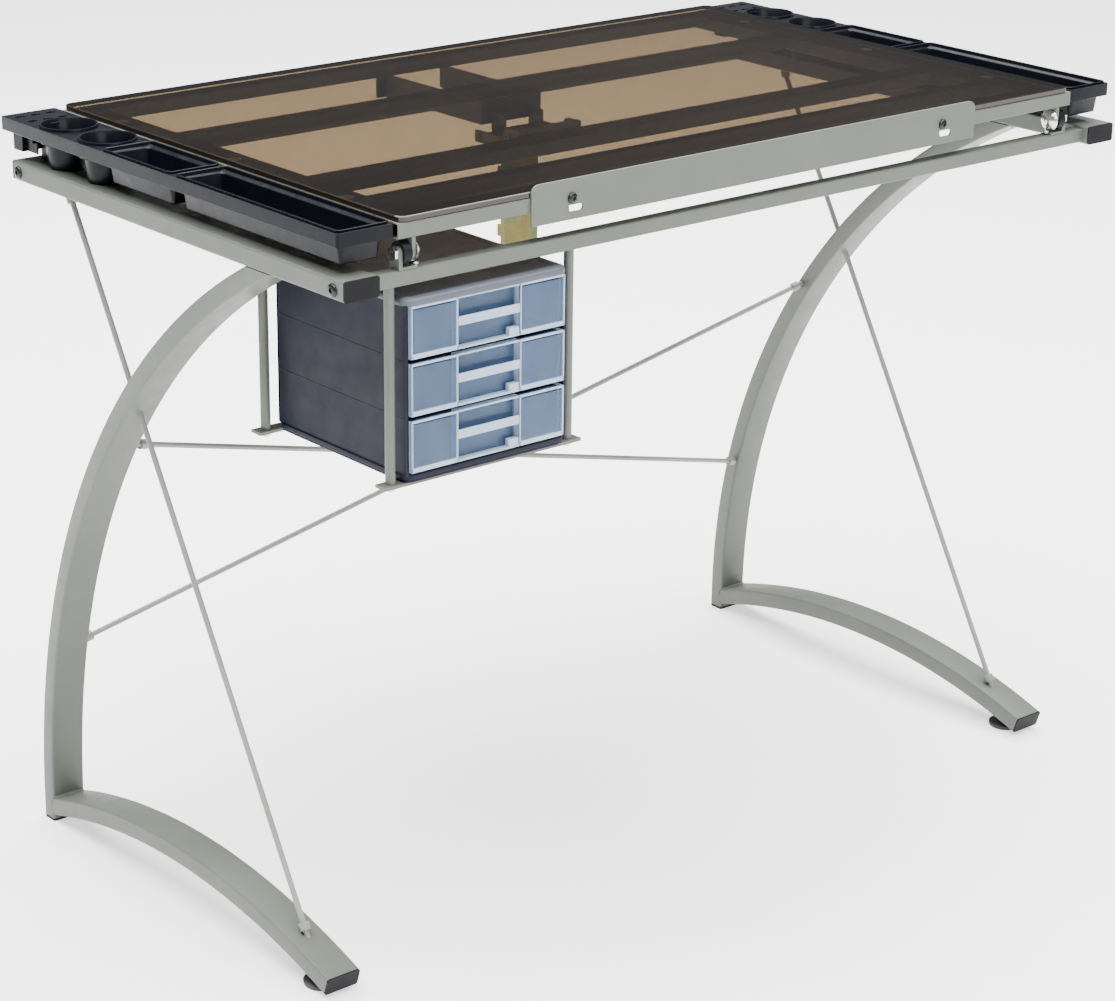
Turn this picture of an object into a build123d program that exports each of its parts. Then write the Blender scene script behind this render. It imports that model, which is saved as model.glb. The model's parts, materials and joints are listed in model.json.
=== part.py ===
from build123d import *
import math
import os

# Glass-topped drafting table: a tubular base on two arc legs, a top that tilts on two front
# pivots and is held by a ratchet stay, a sliding pencil ledge, two lift-off side trays and a
# hanging unit of three drawers. Millimetres. X runs along the length, +Y is the rear, +Z is up.
# The origin is on the floor, under the middle of the overall box.

os.makedirs("parts", exist_ok=True)

# ---------------------------------------------------------------- driving dimensions
base_width = 1052.0          # over the outer faces of the side tubes
overall_depth = 602.0        # front caps to the rear of the trays
table_height = 800.0         # floor to the top face of the glass
side_tube_length = overall_depth - 20.0      # over the end caps
base_top_z = table_height - 48.0             # floor to the top of the side tubes

tube_w = 40.0                # side tubes, legs and feet: section across X
tube_t = 20.0                # the same section, the other way
tube_wall = 1.5
tube_corner = 2.5
rail_d = 15.0                # base rails: square section
rail_h = 15.0
rail_wall = 1.2
rail_corner = 1.5
cap_flange = 2.0
plug_gap = 0.15              # plastic plugs in tube ends, each side

leg_sweep = 64.6             # turn of the leg's inner face up to the side tube, degrees
leg_centre_z = 22.0
leg_overhang = 2.0           # rear of the leg behind the side tube
leg_cap_height = 3.0
foot_radius = 850.0          # top radius of the arched foot
foot_tip_setback = 48.0
foot_crown_setback = 310.0
foot_tip_z = 4.6             # underside of the foot at its tip
side_rod_top_setback = 505.0
side_rod_foot_setback = 106.0
cross_low_z = 212.0
cross_high_share = 0.593     # upper ends of the crossing rods, as a share of the height

rod_r = 3.0
rod_bite = 6.0               # how far a rod end goes into a tube
rod_hole_gap = 0.3
hole_bite = 2.0              # how far a rod's hole is cut past the rod's end
collar_r = 5.5
collar_length = 8.0
collar_offset = 5.5          # collar to the face the rod enters
rod_gap = 4.5                # each crossing rod's distance from the leg's middle radius

rail_drop = 1.0              # base rails' middle below the side tubes' middle
front_rail_setback = 10.0    # front face of the side tubes to the front rail
drawer_rail_setback = 212.0
drawer_rail_d = 20.0
centre_rail_setback = 328.0
rear_rail_setback = side_tube_length - 19.5
frame_screw_r = 3.0
screw_head_r = 6.5
screw_head_h = 3.0
rail_plug_length = 16.0
cap_plug_length = 6.0

levelling_setback = 80.0     # front of the base to the levelling foot
leveller_pad_r = 20.0
leveller_pad_h = 7.0
leveller_pad_chamfer = 1.5
leveller_stem_r = 4.0

glass_length = base_width - 138.0
glass_depth = overall_depth - 17.0
glass_t = 5.0
glass_corner = 8.0
glass_setback = 7.4
glass_edge_chamfer = 0.8
pad_t = 1.0
pad_r = 7.0
pad_shares = (0.18, 0.5, 0.85)               # along the depth of the glass
top_rail_h = 15.0            # rails of the tilting frame
top_overhang = 2.4           # frame beyond the glass, each end
top_side_w = 40.0
top_front_d = 40.0
top_rear_d = 20.0
top_rail_setbacks = (95.0, 176.0, 414.0)     # the three inner rails, from the front face
top_rail_depths = (15.0, 30.0, 20.0)

hinge_setback = 17.0
hinge_z = base_top_z + 12.0
hinge_x = glass_length / 2 - 16.0            # middle of the hinge ear
hinge_ear_t = 4.0
hinge_ear_w = 18.0
hinge_bolt_r = 4.0
hinge_washer_r = 12.0
hinge_bracket_t = 4.0
hinge_bracket_w = 14.0
hinge_tab_t = 2.5
hinge_spacer_t = 9.0
hinge_head_h = 7.0
hinge_nut_r = 7.0
hinge_nut_t = 3.5
running_gap = 0.05           # pin in its hole, on the radius
part_gap = 0.6               # between faces that slide past each other
side_gap = 0.5

ledge_length = 608.0
ledge_height = 40.0
ledge_t = 2.0
ledge_corner = 9.0
ledge_low_z = table_height - 34.0
ledge_travel = 10.0
ledge_screw_x = 254.5
ledge_screw_z = table_height - 13.0
ledge_screw_r = 3.0
ledge_screw_head_r = 5.5
ledge_screw_head_h = 2.8
ledge_screw_bite = 8.0       # how far the screw goes into the front rail
ledge_lock = 10.4            # sideways run of the slot's lower branch

stay_w = 48.0
stay_d = 12.0
stay_t = 2.5
stay_length = 300.0          # below its pivot
stay_end_gap = 30.0          # pivot to the first notch
stay_web_gap = 12.0          # pivot to the top of the web
stay_setback = 398.0
stay_pivot_z = base_top_z - 7.0
stay_pin_r = 4.0
stay_notches = 11
stay_notch_pitch = 22.0
stay_notch_d = 6.0
stay_notch_h = 9.0
bracket_w = 84.0
bracket_h = 26.0
bracket_t = 3.0
bracket_setback = 410.0
bracket_rear_gap = 4.0       # rear of the strap to the rear of the frame
bracket_flange = 10.0
lug_t = 3.0
lug_r = 10.0
lug_top = 12.0               # upper corner of a lug above the strap's lower edge
pin_head_r = 6.5
pin_head_t = 3.0

housing_w = 88.0
housing_t = 3.0
housing_top_z = base_top_z + 8.0
catch_bar_r = 3.5
catch_bar_gap = 4.0          # to the stay, with the table flat
high_wing_reach = 10.0       # the wings' tall part runs this far behind the pawl's pin
bar_overhang = 2.0           # pins and catch bar beyond the wings, each end
housing_screw_x = 30.0
housing_screw_r = 5.0
housing_screw_h = 2.5
housing_corner = 5.0
pawl_w = 44.0
pawl_eye_wall = 3.0
pawl_eye_overhang = 8.0      # the eye is wider than the blade, each side
pawl_pin_setback = 13.0      # housing's rear face to the pin
pawl_t = 3.0
pawl_pin_r = 3.0
pawl_tip_gap = 5.0           # pawl to stay with the table flat

tray_w = 65.0
tray_length = overall_depth - 10.0
tray_top_z = table_height - 3.0
tray_wall = 2.2
tray_rim = 6.0
tray_skirt_h = 14.0
bin_depth = 35.0
cup_r = 25.0
cup_bottom_r = 20.0
pencil_r = 4.5
pencil_depth = 18.0
pencil_pitch_x = 18.0
pencil_pitch_y = 24.0
tray_rest_gap = 0.4
tray_end_rim = 10.0
tray_corner = 3.0
tray_draft = 2.5             # a bin is narrower at its floor by this, each side
divider_w = 11.0
big_bin_length = 0.4341 * tray_length
small_bin_length = 120.0
pencil_block_length = 56.0
cup_pitch = 74.0

drawer_front_setback = 4.0
case_w = 194.0
case_depth = 211.0
case_wall = 3.0
case_drop = 31.0             # top of the side tubes to the top of the case
case_inset = 74.0            # case in from the end of the base
lid_t = 6.0
lid_lip = 1.5
base_t = 8.0
shelf_t = 1.6
runner_w = 10.0
wall_setback = 3.0           # case walls behind the drawer fronts
drawer_count = 3
drawer_h = 51.0
drawer_spacing = 4.8         # between one drawer and the next
drawer_top_gap = 1.2
drawer_low_gap = 2.2
drawer_grip_w = 74.0
drawer_grip_depth = 9.0
drawer_wall = 2.0
drawer_gap = 1.0
drawer_back_gap = 4.0
post_r = 5.0
post_span_x = 216.0
carrier_bar_t = 3.0
carrier_bar_d = 16.0
post_nut_r = 6.0
post_nut_h = 5.0

# ---------------------------------------------------------------- places worked out from them
front_y = -overall_depth / 2
side_outer = base_width / 2
side_inner = side_outer - tube_w
side_middle = side_outer - tube_w / 2
base_bottom_z = base_top_z - tube_t
rail_z = (base_top_z + base_bottom_z) / 2 - rail_drop
rail_top_z = rail_z + rail_h / 2
rail_bottom_z = rail_z - rail_h / 2
rail_inner = rail_h - 2 * rail_wall
leg_inner_radius = (base_bottom_z - leg_centre_z) / math.sin(math.radians(leg_sweep))
leg_radius = leg_inner_radius + tube_t
leg_middle_radius = leg_inner_radius + tube_t / 2
leg_centre_y = front_y + side_tube_length + leg_overhang - leg_radius
foot_inner_radius = foot_radius - tube_t
foot_tip_y = front_y + foot_tip_setback
foot_centre_y = front_y + foot_crown_setback
foot_rise = math.sqrt(foot_inner_radius ** 2 - (foot_centre_y - foot_tip_y) ** 2)
foot_centre_z = foot_tip_z - foot_rise
cross_high_z = cross_high_share * table_height
frame_top_z = table_height - glass_t - pad_t
frame_bottom_z = frame_top_z - top_rail_h
frame_half = glass_length / 2 + top_overhang
frame_front_y = front_y + glass_setback
frame_rear_y = frame_front_y + glass_depth
hinge_y = front_y + hinge_setback
stay_y = front_y + stay_setback
bracket_front_y = front_y + bracket_setback
bracket_top_z = frame_bottom_z
frame_screw_rear_y = front_y + rear_rail_setback + rail_d / 2
levelling_y = front_y + levelling_setback
ledge_front_y = frame_front_y - side_gap - ledge_t
housing_front_y = front_y + centre_rail_setback + rail_d
pawl_y = housing_front_y + housing_t + pawl_pin_setback
pawl_z = housing_top_z - 10.0
catch_bar_y = stay_y + stay_d / 2 + catch_bar_r + catch_bar_gap
catch_bar_z = rail_bottom_z + 6.0
tray_outer_x = side_outer
tray_inner_x = side_outer - tray_w
tray_front_y = front_y + overall_depth - tray_length
tray_body_x0 = tray_inner_x + tray_rim
tray_body_x1 = tray_outer_x - tray_rim
tray_mid_x = (tray_inner_x + tray_outer_x) / 2
tray_floor_z = tray_top_z - bin_depth
rear_cup_y = tray_front_y + tray_length - pencil_block_length - cup_r - 1.0
drawer_pitch = drawer_h + drawer_spacing
drawer_stack = drawer_count * drawer_pitch - drawer_spacing
case_height = lid_t + drawer_top_gap + drawer_stack + drawer_low_gap + base_t
case_top_z = base_top_z - case_drop
case_bottom_z = case_top_z - case_height
case_left_x = case_inset - side_outer
case_right_x = case_left_x + case_w
case_middle_x = case_left_x + case_w / 2
case_inner_left = case_left_x + case_wall
case_inner_right = case_right_x - case_wall
top_drawer_z = case_top_z - lid_t - drawer_top_gap - drawer_h
drawer_floor_z = [top_drawer_z - number * drawer_pitch for number in range(drawer_count)]
case_front_y = front_y + drawer_front_setback
case_rear_y = case_front_y + case_depth
post_front_y = front_y + front_rail_setback + rail_d / 2
post_rear_y = front_y + drawer_rail_setback + drawer_rail_d / 2
bar_top_z = case_bottom_z
pieces = {}


def block(x0, x1, y0, y1, z0, z1):
    """Box between two corners."""
    low = (Align.MIN, Align.MIN, Align.MIN)
    return Pos(x0, y0, z0) * Box(x1 - x0, y1 - y0, z1 - z0, align=low)


def rod(start, end, radius):
    """Round bar from one point to another."""
    start = Vector(*start)
    run = Vector(*end) - start
    return Plane(origin=start, z_dir=run) * extrude(Circle(radius), run.length)


def hollow_section(width, height, wall, corner):
    """Rectangular tube section with rounded corners, width along the sketch's X."""
    inner_corner = max(corner - wall, 0.3)
    outer = RectangleRounded(width, height, corner)
    return outer - RectangleRounded(width - 2 * wall, height - 2 * wall, inner_corner)


def rail_along_x(x0, x1, y_mid, z_mid, depth, height, wall=rail_wall, corner=rail_corner):
    """Rectangular tube that runs along X."""
    plane = Plane(origin=(x0, y_mid, z_mid), x_dir=(0, 1, 0), z_dir=(1, 0, 0))
    return plane * extrude(hollow_section(depth, height, wall, corner), x1 - x0)


def rail_along_y(x_mid, y0, y1, z_mid, width, height, wall=rail_wall, corner=rail_corner):
    """Rectangular tube that runs along Y."""
    plane = Plane(origin=(x_mid, y0, z_mid), x_dir=(-1, 0, 0), z_dir=(0, 1, 0))
    return plane * extrude(hollow_section(width, height, wall, corner), y1 - y0)


def dome_head(base, direction, radius, height):
    """Low domed screw head standing on a face."""
    sphere_r = (radius ** 2 + height ** 2) / (2 * height)
    plane = Plane(origin=base, z_dir=direction)
    ball = Pos(0, 0, height - sphere_r) * Sphere(sphere_r)
    keep = Pos(0, 0, height / 2) * Box(2 * radius + 2, 2 * radius + 2, height)
    return plane * (ball & keep)


def add(name, *solids):
    """Store one node, made of one or more solids."""
    pieces[name] = list(solids)


def mirrored(shape):
    """The same shape on the other side of the table."""
    return mirror(shape, about=Plane.YZ)


# ---------------------------------------------------------------- base frame
def leg_envelope(wall, past_ends=0.0):
    """Solid arc leg with square corners, shrunk by a wall thickness and run past both ends."""
    section = Rectangle(tube_w - 2 * wall, tube_t - 2 * wall)
    foot_plane = Plane(
        origin=(side_middle, leg_centre_y + leg_middle_radius, leg_centre_z),
        x_dir=(1, 0, 0), z_dir=(0, 0, -1),
    )
    stub = foot_plane * extrude(section, leg_centre_z - leg_cap_height + past_ends)
    axis = Axis((0, leg_centre_y, leg_centre_z), (1, 0, 0))
    arc = revolve(foot_plane * section, axis=axis, revolution_arc=leg_sweep + 2)
    top = base_bottom_z + past_ends
    return (stub + arc) & block(0, side_outer + 1, -overall_depth, overall_depth, -past_ends, top)


def point_on_leg(radius, z):
    """Y of a circle about the leg's centre at a height."""
    return leg_centre_y + math.sqrt(radius ** 2 - (z - leg_centre_z) ** 2)


def foot_top(y):
    return foot_centre_z + math.sqrt(foot_radius ** 2 - (y - foot_centre_y) ** 2)


def foot_envelope(wall):
    """Solid arched foot, shrunk by a wall thickness, from its tip into the leg."""
    middle = foot_radius - tube_t / 2
    tip_angle = math.degrees(math.asin((foot_centre_y - foot_tip_y) / middle))
    heel_y = leg_centre_y + leg_middle_radius
    heel_angle = math.degrees(math.asin((heel_y - foot_centre_y) / middle))
    corner = max(tube_corner - wall, 0.3)
    section = RectangleRounded(tube_w - 2 * wall, tube_t - 2 * wall, corner)
    top_plane = Plane(
        origin=(side_middle, foot_centre_y, foot_centre_z + middle),
        x_dir=(1, 0, 0), z_dir=(0, -1, 0),
    )
    axis = Axis((0, foot_centre_y, foot_centre_z), (1, 0, 0))
    start = top_plane * section
    start = start.rotate(axis, tip_angle)
    return revolve(start, axis=axis, revolution_arc=-(tip_angle + heel_angle))


side_rod_top = (side_middle, front_y + side_rod_top_setback, base_bottom_z)
side_rod_foot_y = front_y + side_rod_foot_setback
side_rod_foot = (side_middle, side_rod_foot_y, foot_top(side_rod_foot_y))
leveller_top_z = foot_top(levelling_y) - tube_wall - 2.0


def beyond(start, end, extra):
    """Point past the end of a line, by a length."""
    start = Vector(*start)
    end = Vector(*end)
    out = end + (end - start).normalized() * extra
    return (out.X, out.Y, out.Z)


def cross_rod_ends(side):
    """The two ends, on the legs' inner faces, of one of the crossing rods."""
    radius = leg_middle_radius + side * rod_gap
    low = (-side * side_inner, point_on_leg(radius, cross_low_z), cross_low_z)
    high = (side * side_inner, point_on_leg(radius, cross_high_z), cross_high_z)
    return low, high


def legs_with_holes():
    """Right leg and left leg: each crossing rod enters one high and the other low."""
    right = leg_envelope(0) - leg_envelope(tube_wall, past_ends=2.0)
    right -= rod(side_rod_top, side_rod_foot, rod_r + rod_hole_gap)
    left = mirrored(right)
    for side in (-1, 1):
        low, high = cross_rod_ends(side)
        high_hole = rod(low, beyond(low, high, rod_bite + hole_bite), rod_r + rod_hole_gap)
        low_hole = rod(high, beyond(high, low, rod_bite + hole_bite), rod_r + rod_hole_gap)
        if side > 0:
            right -= high_hole
            left -= low_hole
        else:
            right -= low_hole
            left -= high_hole
    return right, left


def foot_with_holes():
    foot = foot_envelope(0) - foot_envelope(tube_wall)
    foot -= leg_envelope(0)
    foot -= rod(side_rod_top, beyond(side_rod_top, side_rod_foot, rod_bite + hole_bite),
                rod_r + rod_hole_gap)
    foot -= rod((side_middle, levelling_y, 0), (side_middle, levelling_y, leveller_top_z + 2),
                leveller_stem_r + running_gap)
    return foot


def leveller():
    stem = rod((side_middle, levelling_y, leveller_pad_h),
               (side_middle, levelling_y, leveller_top_z), leveller_stem_r)
    pad = Pos(side_middle, levelling_y, leveller_pad_h / 2) * Cylinder(
        leveller_pad_r, leveller_pad_h)
    pad = chamfer(pad.edges().sort_by(Axis.Z)[-1], leveller_pad_chamfer)
    return pad + stem


def side_tube():
    tube = rail_along_y(side_middle, front_y + cap_flange,
                        front_y + side_tube_length - cap_flange,
                        (base_top_z + base_bottom_z) / 2, tube_w, tube_t,
                        tube_wall, tube_corner)
    for y in (post_front_y, frame_screw_rear_y):
        tube -= rod((side_inner - 1, y, rail_z), (side_outer + 1, y, rail_z),
                    frame_screw_r + running_gap)
    tube -= rod(side_rod_foot, beyond(side_rod_foot, side_rod_top, rod_bite + hole_bite),
                rod_r + rod_hole_gap)
    return tube


def frame_screw(y):
    head = dome_head((side_outer, y, rail_z), (1, 0, 0), screw_head_r, screw_head_h)
    shank = rod((side_outer, y, rail_z), (side_inner - rail_plug_length, y, rail_z),
                frame_screw_r)
    return head + shank


def rail_end_plug(y):
    """Threaded plug inside a rail's end, which the frame screw goes into."""
    half = rail_inner / 2 - plug_gap
    plug = block(side_inner - rail_plug_length, side_inner, y - half, y + half,
                 rail_z - half, rail_z + half)
    return plug - rod((side_inner - rail_plug_length - 1, y, rail_z),
                      (side_inner + 1, y, rail_z), frame_screw_r + running_gap)


def end_cap(plane, plug_length):
    """Plastic cap for a tube end: the plane's Z points out of the tube."""
    flange = extrude(RectangleRounded(tube_w, tube_t, tube_corner), cap_flange)
    bore_w = tube_w - 2 * tube_wall - 2 * plug_gap
    bore_t = tube_t - 2 * tube_wall - 2 * plug_gap
    plug = extrude(RectangleRounded(bore_w, bore_t, tube_corner - tube_wall), -plug_length)
    return plane * (flange + plug)


def rod_collar(at, toward, offset):
    """Round nut on a rod, a little way from the face that the rod enters."""
    near = beyond(toward, at, -offset)
    far = beyond(toward, at, -offset - collar_length)
    return rod(near, far, collar_r) - rod(at, toward, rod_r + running_gap)


def make_base():
    tube_z = (base_top_z + base_bottom_z) / 2
    right_tube = side_tube()
    add("side_tube_right", right_tube)
    add("side_tube_left", mirrored(right_tube))
    right_leg, left_leg = legs_with_holes()
    add("leg_right", right_leg)
    add("leg_left", left_leg)
    foot = foot_with_holes()
    add("foot_right", foot)
    add("foot_left", mirrored(foot))
    front_rail_y = post_front_y
    add("front_rail", rail_along_x(-side_inner, side_inner, front_rail_y, rail_z, rail_d, rail_h))
    add("drawer_rail", rail_along_x(-side_inner, side_inner, post_rear_y, rail_z,
                                    drawer_rail_d, rail_h))
    centre_y = front_y + centre_rail_setback + rail_d / 2
    add("centre_rail", rail_along_x(-side_inner, side_inner, centre_y, rail_z, rail_d, rail_h))
    add("rear_rail", rail_along_x(-side_inner, side_inner, frame_screw_rear_y, rail_z,
                                  rail_d, rail_h))
    screws = [frame_screw(y) for y in (post_front_y, frame_screw_rear_y)]
    add("frame_screws", *screws, *[mirrored(s) for s in screws])
    plugs = [rail_end_plug(y) for y in (post_front_y, frame_screw_rear_y)]
    add("rail_end_plugs", *plugs, *[mirrored(s) for s in plugs])

    front_cap = end_cap(Plane(origin=(side_middle, front_y + cap_flange, tube_z),
                              x_dir=(1, 0, 0), z_dir=(0, -1, 0)), cap_plug_length)
    rear_cap = end_cap(Plane(origin=(side_middle, front_y + side_tube_length - cap_flange,
                                     tube_z), x_dir=(1, 0, 0), z_dir=(0, 1, 0)),
                      cap_plug_length)
    add("side_tube_caps", front_cap, rear_cap, mirrored(front_cap), mirrored(rear_cap))
    tip_angle = math.asin((foot_centre_y - foot_tip_y) / (foot_radius - tube_t / 2))
    tip_z = foot_centre_z + (foot_radius - tube_t / 2) * math.cos(tip_angle)
    tip_cap = end_cap(Plane(origin=(side_middle, foot_tip_y, tip_z), x_dir=(1, 0, 0),
                            z_dir=(0, -math.cos(tip_angle), -math.sin(tip_angle))),
                      cap_plug_length + 2)
    add("foot_tip_caps", tip_cap, mirrored(tip_cap))
    leg_y = leg_centre_y + leg_middle_radius
    inset = tube_wall + 2 * plug_gap
    sole = block(side_inner, side_outer, leg_y - tube_t / 2, leg_y + tube_t / 2, 0,
                 leg_cap_height)
    sole = fillet(sole.edges().filter_by(Axis.Z), tube_corner)
    sole_plug = block(side_inner + inset, side_outer - inset, leg_y - tube_t / 2 + inset,
                      leg_y + tube_t / 2 - inset, leg_cap_height, leg_cap_height + 8)
    leg_cap = sole + sole_plug
    add("leg_soles", leg_cap, mirrored(leg_cap))

    side = rod(beyond(side_rod_foot, side_rod_top, rod_bite),
               beyond(side_rod_top, side_rod_foot, rod_bite), rod_r)
    add("side_rod_right", side)
    add("side_rod_left", mirrored(side))
    for side_sign, name in ((-1, "cross_rod_front"), (1, "cross_rod_rear")):
        low, high = cross_rod_ends(side_sign)
        add(name, rod(beyond(high, low, rod_bite), beyond(low, high, rod_bite), rod_r))
    collars = [rod_collar(side_rod_top, side_rod_foot, collar_offset),
               rod_collar(side_rod_foot, side_rod_top, collar_offset)]
    collars += [mirrored(c) for c in collars]
    for side_sign in (-1, 1):
        low, high = cross_rod_ends(side_sign)
        collars += [rod_collar(low, high, collar_offset), rod_collar(high, low, collar_offset)]
    add("rod_collars", *collars)
    turner = leveller()
    add("leveller_right", turner)
    add("leveller_left", mirrored(turner))


# ---------------------------------------------------------------- hinges
def hinge_parts():
    """Right-hand pivot: ear of the top frame, its bolt, and the bracket on the front rail."""
    ear_x0 = hinge_x - hinge_ear_t / 2
    ear_x1 = hinge_x + hinge_ear_t / 2
    ear_half = hinge_ear_w / 2
    ear = block(ear_x0, ear_x1, hinge_y - ear_half, hinge_y + ear_half, hinge_z, frame_bottom_z)
    ear += rod((ear_x0, hinge_y, hinge_z), (ear_x1, hinge_y, hinge_z), ear_half)
    ear -= rod((ear_x0 - 1, hinge_y, hinge_z), (ear_x1 + 1, hinge_y, hinge_z),
               hinge_bolt_r + running_gap)
    spacer_x0 = ear_x1 + part_gap
    spacer_x1 = spacer_x0 + hinge_spacer_t
    bracket_x1 = spacer_x1 + hinge_bracket_t
    spacer = rod((spacer_x0, hinge_y, hinge_z), (spacer_x1, hinge_y, hinge_z), hinge_washer_r - 1)
    spacer -= rod((spacer_x0 - 1, hinge_y, hinge_z), (spacer_x1 + 1, hinge_y, hinge_z),
                  hinge_bolt_r + running_gap)
    half = hinge_bracket_w / 2
    bracket = block(spacer_x1, bracket_x1, hinge_y - half, hinge_y + half, rail_top_z, hinge_z)
    bracket += rod((spacer_x1, hinge_y, hinge_z), (bracket_x1, hinge_y, hinge_z), half)
    bracket += block(ear_x0 - hinge_ear_t, bracket_x1, hinge_y - half, hinge_y + half,
                     rail_top_z, rail_top_z + hinge_tab_t)
    bracket -= rod((spacer_x1 - 1, hinge_y, hinge_z), (bracket_x1 + 1, hinge_y, hinge_z),
                   hinge_bolt_r + running_gap)
    head_x = ear_x0 - part_gap
    shank = rod((head_x, hinge_y, hinge_z), (bracket_x1 + hinge_nut_t, hinge_y, hinge_z),
                hinge_bolt_r)
    head = dome_head((head_x, hinge_y, hinge_z), (-1, 0, 0), hinge_washer_r, hinge_head_h)
    bolt = head + shank
    nut_plane = Plane(origin=(bracket_x1, hinge_y, hinge_z), z_dir=(1, 0, 0))
    nut = nut_plane * extrude(RegularPolygon(hinge_nut_r, 6), hinge_nut_t)
    nut -= rod((bracket_x1 - 1, hinge_y, hinge_z), (bracket_x1 + 5, hinge_y, hinge_z),
               hinge_bolt_r + running_gap)
    return ear, spacer, bracket, bolt, nut


def make_hinges():
    ear, spacer, bracket, bolt, nut = hinge_parts()
    add("hinge_ears", ear, mirrored(ear))
    add("hinge_spacers", spacer, mirrored(spacer))
    add("hinge_brackets", bracket, mirrored(bracket))
    add("hinge_bolts", bolt, mirrored(bolt))
    add("hinge_nuts", nut, mirrored(nut))


# ---------------------------------------------------------------- tilting top
def make_top():
    middle_z = (frame_top_z + frame_bottom_z) / 2
    rail_half = frame_half - top_side_w
    right = rail_along_y(frame_half - top_side_w / 2, frame_front_y + top_front_d,
                         frame_rear_y - top_rear_d, middle_z, top_side_w, top_rail_h)
    add("top_side_rail_right", right)
    add("top_side_rail_left", mirrored(right))
    front = rail_along_x(-frame_half, frame_half, frame_front_y + top_front_d / 2, middle_z,
                         top_front_d, top_rail_h)
    for x in (-ledge_screw_x, ledge_screw_x):
        front -= rod((x, frame_front_y - 1, ledge_screw_z),
                     (x, frame_front_y + ledge_screw_bite + 1, ledge_screw_z),
                     ledge_screw_r + running_gap)
    add("top_front_rail", front)
    add("top_rear_rail", rail_along_x(-frame_half, frame_half, frame_rear_y - top_rear_d / 2,
                                      middle_z, top_rear_d, top_rail_h))
    for number, setback in enumerate(top_rail_setbacks):
        depth = top_rail_depths[number]
        y = front_y + setback + depth / 2
        add(f"top_cross_rail_{number + 1}",
            rail_along_x(-rail_half, rail_half, y, middle_z, depth, top_rail_h))
    glass = block(-glass_length / 2, glass_length / 2, frame_front_y, frame_rear_y,
                  table_height - glass_t, table_height)
    glass = fillet(glass.edges().filter_by(Axis.Z), glass_corner)
    glass = chamfer(glass.edges().group_by(Axis.Z)[-1], glass_edge_chamfer)
    add("glass_top", glass)
    pads = []
    for x in (-1, 1):
        for share in pad_shares:
            spot = (x * (frame_half - top_side_w / 2), frame_front_y + share * glass_depth)
            pads.append(Pos(*spot, frame_top_z + pad_t / 2) * Cylinder(pad_r, pad_t))
    add("glass_pads", *pads)


def ledge_slot(x):
    """Upright slot with a locking branch to the right at its upper end of travel."""
    wide = ledge_screw_r + side_gap
    low_z = ledge_screw_z - ledge_travel
    upright = block(x - wide, x + wide, ledge_front_y - 1, frame_front_y, low_z, ledge_screw_z)
    branch = block(x, x + ledge_lock, ledge_front_y - 1, frame_front_y,
                   low_z - wide, low_z + wide)
    cut = upright + branch
    for spot in ((x, ledge_screw_z), (x, low_z), (x + ledge_lock, low_z)):
        cut += rod((spot[0], ledge_front_y - 1, spot[1]), (spot[0], frame_front_y, spot[1]),
                   wide)
    return cut


def make_ledge():
    outline = RectangleRounded(ledge_length, ledge_height, ledge_corner)
    squared = Rectangle(ledge_length, ledge_height / 2)
    outline += Pos(0, -ledge_height / 4) * squared
    plane = Plane(origin=(0, ledge_front_y, ledge_low_z + ledge_height / 2),
                  x_dir=(1, 0, 0), z_dir=(0, -1, 0))
    plate = plane * extrude(outline, -ledge_t)
    for x in (-ledge_screw_x, ledge_screw_x):
        plate -= ledge_slot(x)
    add("pencil_ledge", plate)
    screws = []
    for x in (-ledge_screw_x, ledge_screw_x):
        head_y = ledge_front_y - side_gap
        head = dome_head((x, head_y, ledge_screw_z), (0, -1, 0), ledge_screw_head_r,
                         ledge_screw_head_h)
        shank = rod((x, head_y, ledge_screw_z),
                    (x, frame_front_y + ledge_screw_bite, ledge_screw_z), ledge_screw_r)
        screws.append(head + shank)
    add("ledge_screws", *screws)


# ---------------------------------------------------------------- ratchet lift
def lug_pair():
    """Two ears under the lift bracket that carry the stay's pin."""
    inner = stay_w / 2 + part_gap
    ears = []
    for x0 in (inner, -inner - lug_t):
        x1 = x0 + lug_t
        ear = block(x0, x1, stay_y - lug_r, bracket_front_y, stay_pivot_z,
                    bracket_top_z - bracket_h + lug_top)
        ear += rod((x0, stay_y, stay_pivot_z), (x1, stay_y, stay_pivot_z), lug_r)
        ears.append(ear - rod((x0 - 1, stay_y, stay_pivot_z), (x1 + 1, stay_y, stay_pivot_z),
                              stay_pin_r + running_gap))
    return ears


def make_lift_bracket():
    half = bracket_w / 2
    rear_y = frame_rear_y - bracket_rear_gap
    low_z = bracket_top_z - bracket_h
    strap = block(-half, half, bracket_front_y, bracket_front_y + bracket_t, low_z,
                  bracket_top_z)
    for x0 in (-half, half - bracket_t):
        strap += block(x0, x0 + bracket_t, bracket_front_y, rear_y, low_z, bracket_top_z)
    for x0 in (-half - bracket_flange, half - bracket_t):
        strap += block(x0, x0 + bracket_flange + bracket_t, rear_y - bracket_t, rear_y, low_z,
                       bracket_top_z)
    for ear in lug_pair():
        strap += ear
    add("lift_bracket", strap)


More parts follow.
